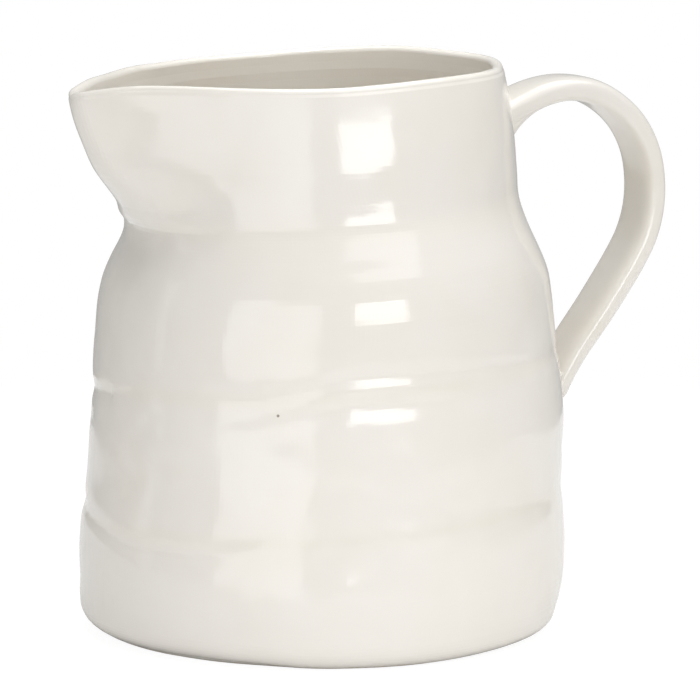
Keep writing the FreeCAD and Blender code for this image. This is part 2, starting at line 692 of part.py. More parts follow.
def main():
    doc = FreeCAD.newDocument(DOCUMENT)
    wall = Wall(make_sheet(doc))
    size = wall.size
    outer = feature(doc, "outer_form", wall.outside())
    inner = feature(doc, "inner_form", wall.inside())
    hollow = boolean(doc, "Cut", "hollow_form", outer, inner)
    trimmed = boolean(doc, "Cut", "trimmed_form", hollow, make_rim_tool(doc, size))
    parts = [make_floor_slab(doc, size)]
    parts.extend(make_bands(doc, size, round_rim(doc, size, trimmed)))
    strap = make_strap_blank(doc, size)
    parts.append(boolean(doc, "Cut", "handle_strap", strap, outer))
    upper_middle = f"{ROOT_HEIGHT} - {SHEET}.upper_luting_drop"
    lower_middle = f"{TAIL_HEIGHT} + {SHEET}.lower_luting_lift"
    parts.append(make_luting(doc, "upper_luting", NECK_RADIUS, upper_middle, outer, strap))
    parts.append(make_luting(doc, "lower_luting", BELLY_EDGE, lower_middle, outer, strap))
    doc.recompute()
    check_and_export(doc, parts)


main()
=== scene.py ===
"""Ceramic pitcher: the glazed clay pieces, laid over the fixed frame, and a plain studio."""

import math

import bpy
import numpy as np
from bpy.props import FloatProperty, FloatVectorProperty, IntProperty, PointerProperty
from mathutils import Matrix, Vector, noise
from mathutils.bvhtree import BVHTree


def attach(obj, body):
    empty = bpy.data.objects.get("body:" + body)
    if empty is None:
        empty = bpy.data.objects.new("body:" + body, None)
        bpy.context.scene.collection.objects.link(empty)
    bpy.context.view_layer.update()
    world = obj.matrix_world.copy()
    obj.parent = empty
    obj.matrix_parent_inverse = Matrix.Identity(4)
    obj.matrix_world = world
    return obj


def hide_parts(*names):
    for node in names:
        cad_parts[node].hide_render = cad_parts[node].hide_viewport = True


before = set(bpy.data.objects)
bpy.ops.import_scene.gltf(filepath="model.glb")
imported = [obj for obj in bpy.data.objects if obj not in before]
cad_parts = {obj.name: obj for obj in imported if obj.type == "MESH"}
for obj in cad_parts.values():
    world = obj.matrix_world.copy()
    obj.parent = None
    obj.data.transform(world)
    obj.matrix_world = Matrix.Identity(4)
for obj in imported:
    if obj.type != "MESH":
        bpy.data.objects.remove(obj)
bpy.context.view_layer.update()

bl_info = {
    "name": "Ceramic Pitcher",
    "version": (1, 0, 0),
    "blender": (4, 5, 0),
    "location": "View3D > Sidebar > Pitcher",
    "description": "Hand-built glazed pitcher with a pouring lip and a strap handle",
    "category": "Object",
}

MM = 0.001

# outside radius of the plain wall at heights on the axis, in millimetres
WALL_PROFILE = (
    (0.0, 85.0), (10.0, 85.6), (20.0, 86.0), (33.0, 85.7), (47.0, 85.0), (60.0, 84.2),
    (74.0, 83.6), (85.0, 83.2), (96.0, 82.8), (108.0, 82.1), (118.0, 80.8), (127.0, 78.2),
    (134.5, 75.4), (142.0, 72.6), (150.0, 70.6), (154.0, 69.9), (160.0, 69.6), (166.0, 69.35),
    (172.0, 69.0), (186.0, 67.6), (200.3, 65.4), (210.0, 63.9),
)
HEEL, LOWER_SEAM, UPPER_SEAM, WAIST, RIM = 20.0, 47.0, 96.0, 150.0, 200.3
# rise of the level lines towards the handle at those heights
LEVEL_RISE = (
    (0.0, 0.0), (HEEL, 0.0), (LOWER_SEAM, 0.0594), (UPPER_SEAM, 0.0542), (WAIST, 0.0419), (RIM, 0.0244),
)
LEAN = (2.1, 100.0, 58.0)  # how far the belly leans, at what height, over what span
CORNER = 9.5  # rounding of the bottom corner
COVE = 8.0  # rounding between wall and floor inside
FLOOR_TOP = 7.0
FLOOR_EDGE = 70.0
FLOOR_SPREAD = 4.0
HOLLOW = (62.0, 1.5)  # radius and depth of the hollow underneath
LIP_REACH = 31.0
# how much further or less far the lip's tip reaches, in millimetres at heights on the axis
LIP_PUSH = (
    (150.0, 0.0), (153.0, 0.7), (158.0, -0.5), (163.0, -0.5), (171.0, -0.1), (180.0, -0.9), (190.0, -1.15),
    (198.0, -0.9), (200.3, -0.7), (210.0, -0.7),
)
LIP_TIP = 9.0
LIP_NOTCH = (152.0, 47.0)  # lowest height, and half width at the rim, of the notch that the lip is set in
DIP = (45.0, 430.0)  # where the rim starts to dip, and the radius of the dip
# how far the clay stands out from the plain wall on four sides, in millimetres at heights on the axis
LEFT_SIDE = (
    (0.0, -3.0), (3.0, -1.1), (7.0, -0.1), (12.0, 0.3), (20.0, -0.1), (34.0, 0.5), (48.0, 1.2), (62.0, 0.6),
    (84.0, 0.5), (102.0, 0.2), (114.0, 0.5), (124.0, 1.3), (130.0, 1.7), (136.0, 1.1), (144.0, -0.5), (152.0, -0.1),
)
FRONT_SIDE = (
    (0.0, 0.0), (96.0, 0.0), (104.0, 0.3), (112.0, 0.8), (118.0, 1.4), (122.0, 2.1), (127.0, 3.1), (131.0, 3.7),
    (135.0, 4.0), (138.0, 3.7), (142.0, 2.6), (146.0, 1.5), (150.0, 0.5), (156.0, 0.1), (160.0, 0.0),
)
RIGHT_SIDE = (
    (0.0, -0.8), (3.0, -1.0), (7.0, -1.5), (12.0, -0.6), (20.0, 0.6), (34.0, 1.1), (41.0, 0.6), (50.0, 0.0),
    (71.0, 1.0), (84.0, 0.5), (98.0, -0.9), (109.0, -1.2), (116.0, -1.2), (124.0, -0.6), (138.0, -0.8),
    (146.0, -1.1), (158.0, -0.7), (180.0, -0.4), (200.0, -0.6),
)
BACK_SIDE = ((0.0, 0.0), (60.0, 0.3), (120.0, -0.4), (140.0, 0.2), (200.0, 0.0))
SIDE_TURNS = (155.0, -105.0, -25.0, 65.0)  # the directions of those four sides, in degrees from +X
# how deep the two grooves are, round the pot: degrees from +X and share of the full depth
LOW_GROOVE = (
    (-180.0, 0.8), (-165.0, 0.7), (-145.0, 0.5), (-125.0, 0.25), (-105.0, 0.1), (-85.0, 0.18), (-55.0, 0.4),
    (-25.0, 0.6), (30.0, 0.5), (90.0, 0.8), (155.0, 0.9), (180.0, 0.8),
)
HIGH_GROOVE = (
    (-180.0, 0.45), (-165.0, 0.25), (-145.0, 0.25), (-125.0, 0.45), (-105.0, 0.7), (-85.0, 0.65), (-55.0, 0.6),
    (-25.0, 0.45), (30.0, 0.7), (90.0, 0.6), (155.0, 0.9), (180.0, 0.6),
)
# share of the full depth of the soft press below the upper groove
HIGH_PRESS = (
    (-180.0, 0.1), (-140.0, 0.12), (-122.0, 0.5), (-105.0, 0.95), (-90.0, 0.6), (-75.0, 0.3), (-50.0, 0.15),
    (-25.0, 0.1), (90.0, 0.4), (180.0, 0.1),
)
# how far those grooves wander up or down from the joints, in millimetres
LOW_WANDER = (
    (-180.0, 0.0), (-168.0, -4.0), (-150.0, -5.0), (-138.0, -4.0), (-125.0, 1.0), (-112.0, 5.0), (-95.0, 5.5),
    (-75.0, 3.5), (-50.0, 1.0), (-25.0, 0.0), (60.0, 1.0), (130.0, 3.0), (160.0, 4.0), (180.0, 0.0),
)
HIGH_WANDER = (
    (-180.0, -3.0), (-165.0, -0.5), (-145.0, 0.0), (-132.0, 0.0), (-122.0, 2.5), (-110.0, 6.3), (-95.0, 6.0),
    (-75.0, 4.0), (-50.0, 1.0), (-25.0, 0.0), (60.0, -1.0), (130.0, -4.0), (160.0, -5.0), (180.0, -3.0),
)
# rise and fall of the rim round the pot: degrees from +X and millimetres
RIM_WAVE = (
    (-180.0, -0.6), (-177.0, 0.1), (-175.0, 0.4), (-170.0, 0.85), (-161.0, 0.5), (-153.0, -0.1), (-139.0, -0.8),
    (-127.0, -0.9), (-107.0, -0.8), (-97.0, -0.4), (-83.0, 0.0), (-71.0, 0.1), (-50.0, -0.4), (-33.0, -0.9),
    (-15.0, -0.5), (0.0, -0.6), (13.0, -0.6), (23.0, -0.4), (42.0, -0.1), (57.0, -0.7), (72.0, -1.25),
    (89.0, -1.75), (107.0, -1.55), (133.0, -0.7), (150.0, 0.5), (163.0, 0.8), (173.0, 1.1), (180.0, -0.6),
)
# how far the underside is lifted off the table round the pot: degrees from +X and millimetres
FOOT_WARP = (
    (-180.0, 0.5), (-165.0, 1.0), (-145.0, 1.5), (-130.0, 1.1), (-117.0, 0.1), (-105.0, 0.0), (-92.0, 0.0),
    (-80.0, 0.3), (-65.0, 0.8), (-41.0, 0.8), (0.0, 0.3), (60.0, 0.0), (120.0, 0.0), (180.0, 0.5),
)
# luting clay: distance along the strap from its nearer end, height of its middle, how far it reaches
# up, down and to each side, and how slowly its lines turn
UPPER_SKIRT = (24.0, 174.0, (13.0, 15.0, 16.0), 1.1)
LOWER_SKIRT = (21.0, 80.0, (8.0, 14.0, 12.6), 0.5)
STRAP_SIDES, STRAP_RINGS = 64, 110  # faces round the handle, and rings along it
SKIRT_SIDES, SKIRT_RINGS = 96, 18  # the same for the luting clay
SPECK = (-125.3, 88.5, 0.5)  # one larger iron speck: degrees from +X, height and radius in millimetres
# middle line of the handle: distance from the axis, height, thickness and width
STRAP_LINE = (
    (60.0, 175.6, 10.6, 25.0), (68.0, 179.4, 10.2, 24.4), (76.0, 183.0, 9.9, 23.8), (85.0, 186.4, 9.6, 23.2),
    (95.0, 187.9, 9.5, 22.8), (105.0, 186.4, 9.8, 22.6), (114.0, 181.7, 9.8, 22.6), (121.6, 174.6, 9.6, 22.6),
    (127.0, 165.0, 9.2, 22.8), (129.3, 154.0, 9.0, 23.0), (128.9, 143.0, 9.0, 23.0), (126.0, 133.0, 9.2, 23.0),
    (121.3, 124.5, 9.4, 23.0), (115.6, 116.0, 9.4, 23.0), (109.6, 107.6, 9.2, 23.0), (103.6, 99.8, 9.0, 23.0),
    (98.0, 92.4, 8.6, 23.0), (93.2, 84.6, 8.0, 23.0), (89.6, 76.0, 7.0, 22.0),
)


FRONT = -25.0  # direction of the camera, in degrees from straight in front
POT = (0.0, 0.0, 0.1)  # the point that the lamps and the camera are aimed at
LAMP_TINT = (0.985, 0.99, 1.0)
LENS = 293.9
LENS_SHIFT = (0.0421, -0.0043)


class ClaySizes(bpy.types.PropertyGroup):
    wall: FloatProperty(
        name="Wall", description="Thickness of the wall below the neck",
        default=4.8 * MM, min=2 * MM, max=8 * MM, unit="LENGTH", subtype="DISTANCE",
    )
    lip: FloatProperty(
        name="Rim", description="Thickness of the wall at the rim",
        default=3.8 * MM, min=2 * MM, max=6 * MM, unit="LENGTH", subtype="DISTANCE",
    )
    groove: FloatProperty(
        name="Seam groove", description="Depth of the soft groove along a seam",
        default=1.0 * MM, min=0.0, max=3 * MM, unit="LENGTH", subtype="DISTANCE",
    )
    dimple: FloatProperty(
        name="Dimples", description="Depth of the marks that fingers left in the wall",
        default=0.6 * MM, min=0.0, max=1.5 * MM, unit="LENGTH", subtype="DISTANCE",
    )
    columns: IntProperty(
        name="Columns", description="Number of faces round the wall", default=320, min=64, max=480,
    )


class GlazeColours(bpy.types.PropertyGroup):
    glaze: FloatVectorProperty(
        name="Glaze", description="Colour of the glaze where it is even",
        default=(0.835, 0.803, 0.747), min=0.0, max=1.0, size=3, subtype="COLOR",
    )
    # darker colour for random thick glaze, and for the painted shade along the seams and the waist
    thick_glaze_and_shade: FloatVectorProperty(
        name="Pooled glaze", description="Colour where the glaze runs thick",
        default=(0.80, 0.752, 0.66), min=0.0, max=1.0, size=3, subtype="COLOR",
    )
    speck: FloatVectorProperty(
        name="Specks", description="Colour of the iron specks",
        default=(0.16, 0.10, 0.06), min=0.0, max=1.0, size=3, subtype="COLOR",
    )
    clay: FloatVectorProperty(
        name="Bare clay", description="Colour of the unglazed foot",
        default=(0.62, 0.54, 0.44), min=0.0, max=1.0, size=3, subtype="COLOR",
    )
    gloss: FloatProperty(
        name="Roughness", description="Roughness of the glaze",
        default=0.1, min=0.0, max=1.0, subtype="FACTOR",
    )


class StudioSetup(bpy.types.PropertyGroup):
    key: FloatProperty(
        name="Key light", description="Power of the tall softbox on the right",
        default=5.0, min=0.0, unit="POWER",
    )
    fill: FloatProperty(
        name="Fill light", description="Power of the wide softbox on the left",
        default=4.4, min=0.0, unit="POWER",
    )
    strip: FloatProperty(
        name="Strip light", description="Power of the narrow softbox at the far left",
        default=0.25, min=0.0, unit="POWER",
    )
    high: FloatProperty(
        name="High light", description="Power of the softbox high up in front",
        default=3.0, min=0.0, unit="POWER",
    )
    mouth: FloatProperty(
        name="Mouth light", description="Power of the narrow lamp that shines into the mouth",
        default=110.0, min=0.0, unit="POWER",
    )
    top: FloatProperty(
        name="Top light", description="Power of the broad light overhead",
        default=16.0, min=0.0, unit="POWER",
    )
    sky: FloatProperty(
        name="Room light", description="Strength of the light from the room", default=0.38, min=0.0,
    )


# ---------------------------------------------------------------- the wall's form


def smooth_table(table):
    """A smooth function through a table of places and values."""
    places = np.array([row[0] for row in table])
    values = np.array([row[1] for row in table])
    slopes = np.gradient(values, places)

    def value_at(place):
        place = np.clip(place, places[0], places[-1])
        row = np.clip(np.searchsorted(places, place) - 1, 0, len(places) - 2)
        gap = places[row + 1] - places[row]
        t = (place - places[row]) / gap
        start = (1 + 2 * t) * (1 - t) ** 2 * values[row] + t * (1 - t) ** 2 * gap * slopes[row]
        end = t * t * (3 - 2 * t) * values[row + 1] + t * t * (t - 1) * gap * slopes[row + 1]
        return start + end

    return value_at


plain_radius = smooth_table(WALL_PROFILE)
level_rise = smooth_table(LEVEL_RISE)
side_pushes = [smooth_table(side) for side in (LEFT_SIDE, FRONT_SIDE, RIGHT_SIDE, BACK_SIDE)]
low_groove, low_wander = smooth_table(LOW_GROOVE), smooth_table(LOW_WANDER)
high_groove, high_wander = smooth_table(HIGH_GROOVE), smooth_table(HIGH_WANDER)
high_press = smooth_table(HIGH_PRESS)
rim_wave = smooth_table(RIM_WAVE)
foot_warp = smooth_table(FOOT_WARP)
lip_push = smooth_table(LIP_PUSH)


def side_push(turn, height):
    """How far the clay stands out at a direction, in degrees from +X, and a height."""
    total = 0.0
    for middle, push in zip(SIDE_TURNS, side_pushes):
        away = np.abs((turn - middle + 180.0) % 360.0 - 180.0)
        total = total + push(height) * np.where(away < 90.0, np.cos(np.radians(away)) ** 2, 0.0)
    return total


def bell(offset, width):
    """A soft bump that is 1 in the middle."""
    return np.exp(-((offset / width) ** 2))


def outline(place, height, inset):
    """Plan position on the wall: place runs from 0 at the pouring tip to 1 at the back."""
    radius = plain_radius(height)
    neck = radius - inset
    rise = (height - WAIST) / (RIM - WAIST)
    share = np.clip((rise + np.sqrt(rise * rise + 0.0009)) / 2, 0.0, 1.0)
    tip = LIP_TIP + (radius - LIP_TIP) * (1 - share) ** 3.5 - inset
    centre = np.maximum(neck - tip + LIP_REACH * (1 - (1 - share) ** 1.4) + lip_push(height), 1e-9)
    tangent = math.pi / 2 - np.arcsin(np.clip((neck - tip) / centre, 0.0, 1.0))
    line = np.sqrt(np.maximum(centre**2 - (neck - tip) ** 2, 0.0))
    arc = tip * tangent
    length = place * (arc + line + neck * (math.pi - tangent))
    turn = length / tip
    along = length - arc
    back = tangent + (length - arc - line) / neck
    on_tip, on_line = length < arc, length < arc + line
    x = np.where(on_line, centre + tip * np.cos(tangent) - along * np.sin(tangent), neck * np.cos(back))
    y = np.where(on_line, tip * np.sin(tangent) + along * np.cos(tangent), neck * np.sin(back))
    x = np.where(on_tip, centre + tip * np.cos(turn), x)
    y = np.where(on_tip, tip * np.sin(turn), y)
    return -x, y


def grooves(turn, height):
    """Share of the full groove depth: a crease by each seam, and a soft press below the upper one."""
    low = height - LOWER_SEAM - low_wander(turn)
    high = height - UPPER_SEAM - high_wander(turn)
    lower = low_groove(turn) * (bell(low, 4.0) + 0.15 * bell(low + 10.0, 5.0))
    upper = high_groove(turn) * bell(high, 3.4) + high_press(turn) * bell(high + 9.5, 4.2)
    return lower + upper


def press_wall(points, dimple, groove=1.0):
    """Turn plain round clay, in millimetres, into the leaning and lipped wall."""
    x, y, height = points.T
    radius = np.hypot(x, y)
    off = np.abs(np.arctan2(y, -x))
    turn = np.degrees(np.arctan2(y, x))
    inset = plain_radius(height) - radius
    skin = np.clip(1.0 - inset / 2.0, 0.0, 1.0) * (radius > FLOOR_EDGE)
    inset = inset + skin * groove * grooves(turn, height)
    px, py = outline(off / math.pi, height, inset)
    py = np.where(y < 0, -py, py)
    near_floor = np.clip((radius - 75.5) / 6.0, 0.0, 1.0)
    share = near_floor + (1.0 - near_floor) * np.clip((height - 14.0) / 20.0, 0.0, 1.0)
    reach = np.maximum(np.hypot(px, py), 1.0)
    push = side_push(turn, height) * share / reach
    px, py = px * (1 + push), py * (1 + push)
    lean = LEAN[0] * np.exp(-(((height - LEAN[1]) / LEAN[2]) ** 4))
    px = px + lean
    run = np.maximum(-DIP[0] - px, 0.0)
    dip = DIP[1] - np.sqrt(DIP[1] ** 2 - run**2)
    turn = np.degrees(np.arctan2(py, px))
    pz = height + level_rise(height) * px - np.clip(height / RIM, 0.0, 1.0) ** 4 * dip
    pz += rim_wave(turn) * np.clip((height - 165.0) / 35.0, 0.0, 1.0) ** 2
    low_down = np.clip((30.0 - height) / 30.0, 0.0, 1.0) ** 2
    pz += foot_warp(turn) * low_down * np.clip((radius - 74.5) / 4.0, 0.0, 1.0)
    pressed = np.stack((px, py, np.maximum(pz, 0.0)), axis=1)
    pressed += dimples(pressed, height) * dimple
    return pressed


def dimples(points, height):
    """Soft rings and hollows where fingers pressed the wall, as a push towards the axis."""
    depth = np.empty(len(points))
    for index, (x, y, z) in enumerate(points):
        rings = noise.noise(Vector((x / 48.0 + 3.1, y / 48.0 + 7.7, z / 17.0 + 1.3)))
        broad = noise.noise(Vector((x / 30.0 + 9.2, y / 30.0 + 2.4, z / 27.0 + 5.5)))
        small = noise.noise(Vector((x / 11.0 + 1.2, y / 11.0 + 8.4, z / 9.0 + 0.5)))
        depth[index] = 0.45 + 0.8 * rings + 0.8 * broad + 0.3 * small
    inward = -points[:, :2] / np.maximum(np.hypot(points[:, 0], points[:, 1]), 1.0)[:, None]
    fade = np.clip((height - 2.0) / 14.0, 0.0, 1.0) * (depth + np.sqrt(depth * depth + 0.02)) / 2
    return np.column_stack((inward * fade[:, None], np.zeros(len(points))))


def steps(start, end, spacing):
    """Evenly spread values from start up to, and without, end."""
    count = max(int(math.ceil(abs(end - start) / spacing)), 1)
    return [start + (end - start) * step / count for step in range(count)]


def outside_line(low, high):
    """Section points up the outside of the wall between two heights."""
    heights, height = [], low
    while height < high - 0.4:
        heights.append(height)
        near = min(abs(height - LOWER_SEAM), abs(height - UPPER_SEAM), abs(height - WAIST))
        height += 1.0 if near < 17.0 else 1.9
    heights.append(high)
    return [(float(plain_radius(h)), h) for h in heights]


def inside_line(low, high, wall, lip):
    """Section points down the inside of the wall between two heights."""
    heights = steps(high, low, 3.4) + [low]
    return [(float(plain_radius(h)) - thickness_at(h, wall, lip), h) for h in heights]


def thickness_at(height, wall, lip):
    """Wall thickness in millimetres, with a soft ridge just below the rim."""
    share = min(max((height - WAIST) / (RIM - WAIST), 0.0), 1.0)
    ridge = 0.5 * float(bell(height - (RIM - 8.0), 2.6))
    return wall + (lip - wall) * share + ridge


# ---------------------------------------------------------------- modelling helpers


def start_primitive(add, name, **settings):
    """Add one primitive with nothing else selected."""
    if bpy.context.object and bpy.context.object.mode != "OBJECT":
        bpy.ops.object.mode_set(mode="OBJECT")
    bpy.ops.object.select_all(action="DESELECT")
    add(**settings)
    piece = bpy.context.object
    piece.name = name
    piece.data.name = name
    return piece


def read_points(piece):
    """A mesh's vertices in millimetres."""
    points = np.empty(len(piece.data.vertices) * 3)
    piece.data.vertices.foreach_get("co", points)
    return points.reshape(-1, 3) / MM


def write_points(piece, points):
    """Move a mesh's vertices to places given in millimetres."""
    piece.data.vertices.foreach_set("co", (np.asarray(points) * MM).ravel())
    piece.data.update()


def turn_section(name, section, columns):
    """Spin a closed section, a list of radius and height in millimetres, round the pot's axis."""
    piece = start_primitive(
        bpy.ops.mesh.primitive_circle_add, name, vertices=len(section), radius=1.0, fill_type="NOTHING"
    )
    write_points(piece, [(radius, 0.0, height) for radius, height in section])
    bpy.ops.object.mode_set(mode="EDIT")
    bpy.ops.mesh.select_all(action="SELECT")
    bpy.ops.mesh.spin(
        steps=columns, angle=2 * math.pi, center=(0, 0, 0), axis=(0, 0, 1), use_auto_merge=True
    )
    bpy.ops.mesh.select_all(action="SELECT")
    bpy.ops.mesh.remove_doubles(threshold=0.02 * MM)
    bpy.ops.mesh.normals_make_consistent(inside=False)
    bpy.ops.object.mode_set(mode="OBJECT")
    return piece


def finish_piece(piece, node, glaze, angle=50.0):
    """Smooth shading, the glaze, and the piece's place in the frame."""
    bpy.ops.object.select_all(action="DESELECT")
    piece.select_set(True)
    bpy.context.view_layer.objects.active = piece
    bpy.ops.object.shade_smooth_by_angle(angle=math.radians(angle))
    # store the painted shade mask for the seams and the waist
    paint_seam_shade(piece)
    piece.data.materials.clear()
    piece.data.materials.append(glaze)
    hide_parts(*([node] if isinstance(node, str) else node))
    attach(piece, "root")


def borrow_normals(piece, form):
    """Take the shading normals of the unbroken wall, so no seam shows between two pieces."""
    bpy.ops.object.select_all(action="DESELECT")
    piece.select_set(True)
    bpy.context.view_layer.objects.active = piece
    transfer = piece.modifiers.new("wall_normals", "DATA_TRANSFER")
    transfer.object = form
    transfer.use_loop_data = True
    transfer.data_types_loops = {"CUSTOM_NORMAL"}
    transfer.loop_mapping = "NEAREST_POLYNOR"
    bpy.ops.object.modifier_apply(modifier=transfer.name)


# ---------------------------------------------------------------- the glaze


class Wire:
    """A node socket that can be used in arithmetic."""

    def __init__(self, nodes, socket):
        self.nodes, self.socket = nodes, socket

    def _math(self, operation, first, second):
        return self.nodes.add("ShaderNodeMath", {"operation": operation}, {0: first, 1: second})

    def __add__(self, other):
        return self._math("ADD", self, other)

    def __radd__(self, other):
        return self._math("ADD", other, self)

    def __sub__(self, other):
        return self._math("SUBTRACT", self, other)

    def __rsub__(self, other):
        return self._math("SUBTRACT", other, self)

    def __mul__(self, other):
        return self._math("MULTIPLY", self, other)

    def __rmul__(self, other):
        return self._math("MULTIPLY", other, self)

    def __lt__(self, other):
        return self._math("LESS_THAN", self, other)

    def __gt__(self, other):
        return self._math("GREATER_THAN", self, other)


class Recipe:
    """One material's nodes."""

    def __init__(self, name):
        self.material = bpy.data.materials.new(name)
        self.material.use_nodes = True
        self.tree = self.material.node_tree
        self.tree.nodes.clear()

    def add(self, kind, settings=None, sockets=None, output=0):
        """Add a node, set it up, fill its sockets, and give back one of its outputs."""
        node = self.tree.nodes.new(kind)
        for key, value in (settings or {}).items():
            if key == "stops":
                ramp = node.color_ramp
                while len(ramp.elements) < len(value):
                    ramp.elements.new(0.5)
                for element, (place, shade) in zip(ramp.elements, value):
                    element.position = place
                    element.color = (*shade, 1.0) if not isinstance(shade, float) else (shade,) * 3 + (1.0,)
            else:
                setattr(node, key, value)
        for key, value in (sockets or {}).items():
            target = node.inputs[key]
            if isinstance(value, Wire):
                self.tree.links.new(value.socket, target)
            elif hasattr(target.default_value, "__len__") and not isinstance(value, (int, float)):
                short = len(target.default_value) == 4 and len(value) == 3
                target.default_value = (*value, 1.0) if short else value
            else:
                target.default_value = value
        return Wire(self, node.outputs[output])

    def mix(self, factor, first, second):
        """Blend of two colours."""
        return self.add(
            "ShaderNodeMix", {"data_type": "RGBA"}, {0: factor, 6: first, 7: second}, output=2
        )

    def ramp(self, value, low, high):
        """0 below low, 1 above high, and smooth between."""
        return self.add(
            "ShaderNodeMapRange", {"interpolation_type": "SMOOTHSTEP"},
            {"Value": value, "From Min": low, "From Max": high},
        )


def make_glaze(colours):
    """Glossy off-white glaze over speckled clay, with the bare clay of the foot."""
    existing = bpy.data.materials.get("white_glaze")
    if existing:
        return existing
    r = Recipe("white_glaze")
    place = r.add("ShaderNodeTexCoord", output=3)
    x, y, z = (r.add("ShaderNodeSeparateXYZ", None, {0: place}, output=axis) for axis in range(3))
    cloud = r.add("ShaderNodeTexNoise", None, {"Vector": place, "Scale": 17.0, "Detail": 3.0, "Roughness": 0.55})
    patch = r.add("ShaderNodeTexNoise", None, {"Vector": place, "Scale": 55.0, "Detail": 2.0, "Roughness": 0.5})
    # painted shade: the seams and the waist are shifted towards the darker colour, on top of the random thick
    # patches
    pool = r.add("ShaderNodeAttribute", {"attribute_name": "pool"}, output=2)
    thick = r.ramp(cloud + 0.35 * patch, 0.55, 0.95) * 0.35 + pool * 0.3
    colour = r.mix(thick, tuple(colours.glaze), tuple(colours.thick_glaze_and_shade))
    grain = r.add(
        "ShaderNodeTexVoronoi", {"feature": "F1"}, {"Vector": place, "Scale": 120.0, "Randomness": 1.0}
    )
    chance = r.add(
        "ShaderNodeTexVoronoi", {"feature": "F1"}, {"Vector": place, "Scale": 120.0, "Randomness": 1.0}, output=1
    )
    lot = r.add("ShaderNodeSeparateColor", None, {0: chance}, output=0)
    dot = (1.0 - r.ramp(grain, 0.03, 0.075)) * (lot > 0.982)
    colour = r.mix(dot * 0.55, colour, tuple(colours.speck))
    turn, level = math.radians(SPECK[0]), SPECK[1] * MM
    aside = y * math.cos(turn) - x * math.sin(turn)
    gap = aside * aside + (z - level) * (z - level)
    facing = (x * math.cos(turn) + y * math.sin(turn)) > 0.0
    spot = (gap < (SPECK[2] * MM) ** 2) * facing
    colour = r.mix(spot * 0.75, colour, tuple(colours.speck))
    wobble = r.add("ShaderNodeTexNoise", None, {"Vector": place, "Scale": 160.0, "Detail": 2.0})
    bare = 1.0 - r.ramp(z + (wobble - 0.5) * 0.0016, 0.0005, 0.0011)
    tooth = r.add("ShaderNodeTexNoise", None, {"Vector": place, "Scale": 900.0, "Detail": 4.0, "Roughness": 0.6})
    colour = r.mix(bare, colour, r.mix(tooth, tuple(colours.clay), tuple(c * 0.82 for c in colours.clay)))
    rough = colours.gloss + 0.03 * cloud + bare * 0.7
    peel = r.add("ShaderNodeTexNoise", None, {"Vector": place, "Scale": 230.0, "Detail": 2.0, "Roughness": 0.5})
    wave = r.add("ShaderNodeTexNoise", None, {"Vector": place, "Scale": 48.0, "Detail": 1.0, "Roughness": 0.4})
    ripple = r.add("ShaderNodeTexNoise", None, {"Vector": place, "Scale": 92.0, "Detail": 1.0, "Roughness": 0.4})
    height = peel * 0.012 + wave * 0.3 + ripple * 0.07 + bare * tooth * 0.25
    bump = r.add("ShaderNodeBump", None, {"Strength": 1.0, "Distance": MM, "Height": height})
    shader = r.add(
        "ShaderNodeBsdfPrincipled", None,
        {"Base Color": colour, "Roughness": rough, "Normal": bump, "IOR": 1.52, "Specular IOR Level": 0.5},
    )
    out = r.tree.nodes.new("ShaderNodeOutputMaterial")
    r.tree.links.new(shader.socket, out.inputs["Surface"])
    return r.material


# ---------------------------------------------------------------- the pieces


def settings():
    """Clay sizes from the panel."""
    return bpy.context.scene.pitcher_sizes


def turn_wall(name, section):
    """A wall piece: its section is spun round the axis and pressed into the leaning form."""
    sizes = settings()
    piece = turn_section(name, section, sizes.columns)
    write_points(piece, press_wall(read_points(piece), sizes.dimple / MM, sizes.groove / MM))
    return piece


def paint_seam_shade(piece):
    """Mark the painted shade: the glaze colour darkens along the two seams and, more faintly, round the waist."""
    points = read_points(piece)
    height = points[:, 2] - level_rise(points[:, 2]) * points[:, 0]
    # painted shade in the creases: strongest on the seams, weaker at the waist
    crease_shade = bell(height - LOWER_SEAM, 2.6) + bell(height - UPPER_SEAM, 2.6) + 0.6 * bell(height - WAIST, 4.0)
    pool = piece.data.attributes.new("pool", "FLOAT", "POINT")
    pool.data.foreach_set("value", np.clip(crease_shade, 0.0, 1.0))


def measures():
    """Wall and rim thickness in millimetres."""
    sizes = settings()
    return sizes.wall / MM, sizes.lip / MM


def joint_point(height, depth):
    """Section point on a seam's bevel: it falls towards the inside."""
    radius = float(plain_radius(height)) - depth
    return (radius, height - depth * math.tan(math.radians(30)))


def band_section(low, high):
    """Closed section of a plain band between two seams."""
    wall, lip = measures()
    section = outside_line(low, high)
    inner_high = joint_point(high, wall)[1]
    inner_low = joint_point(low, wall)[1]
    section += inside_line(inner_low, inner_high, wall, lip)
    return section


def corner_points():
    """Section points round the outside bottom corner, from the underside up."""
    base = float(plain_radius(CORNER)) - CORNER
    turns = [math.pi / 2 * step / 12 for step in range(13)]
    return [(base + CORNER * math.sin(turn), CORNER * (1 - math.cos(turn))) for turn in turns]


def cove_points(wall):
    """Section points round the inside corner, from the wall down to the floor."""
    radius = float(plain_radius(FLOOR_TOP + COVE)) - wall - COVE
    turns = [math.pi / 2 * step / 8 for step in range(9)]
    return [
        (radius + COVE * math.cos(turn), FLOOR_TOP + COVE * (1 - math.sin(turn))) for turn in turns
    ]


def lower_section():
    """Closed section of the lower band, with its rounded corner and its seat for the floor."""
    wall, lip = measures()
    section = corner_points()[:-1] + outside_line(CORNER, LOWER_SEAM)
    inner_high = joint_point(LOWER_SEAM, wall)[1]
    section += inside_line(FLOOR_TOP + COVE, inner_high, wall, lip)[:-1] + cove_points(wall)
    section += [(FLOOR_EDGE, FLOOR_TOP), (FLOOR_EDGE + FLOOR_SPREAD, 0.0)]
    return section


def rim_points(lip):
    """Section points over the rounded rim, from the outside to the inside."""
    edge = float(plain_radius(RIM))
    middle, half = edge - lip / 2, lip / 2
    turns = [math.pi * step / 10 for step in range(11)]
    return [(middle + half * math.cos(turn), RIM - half + half * math.sin(turn)) for turn in turns]


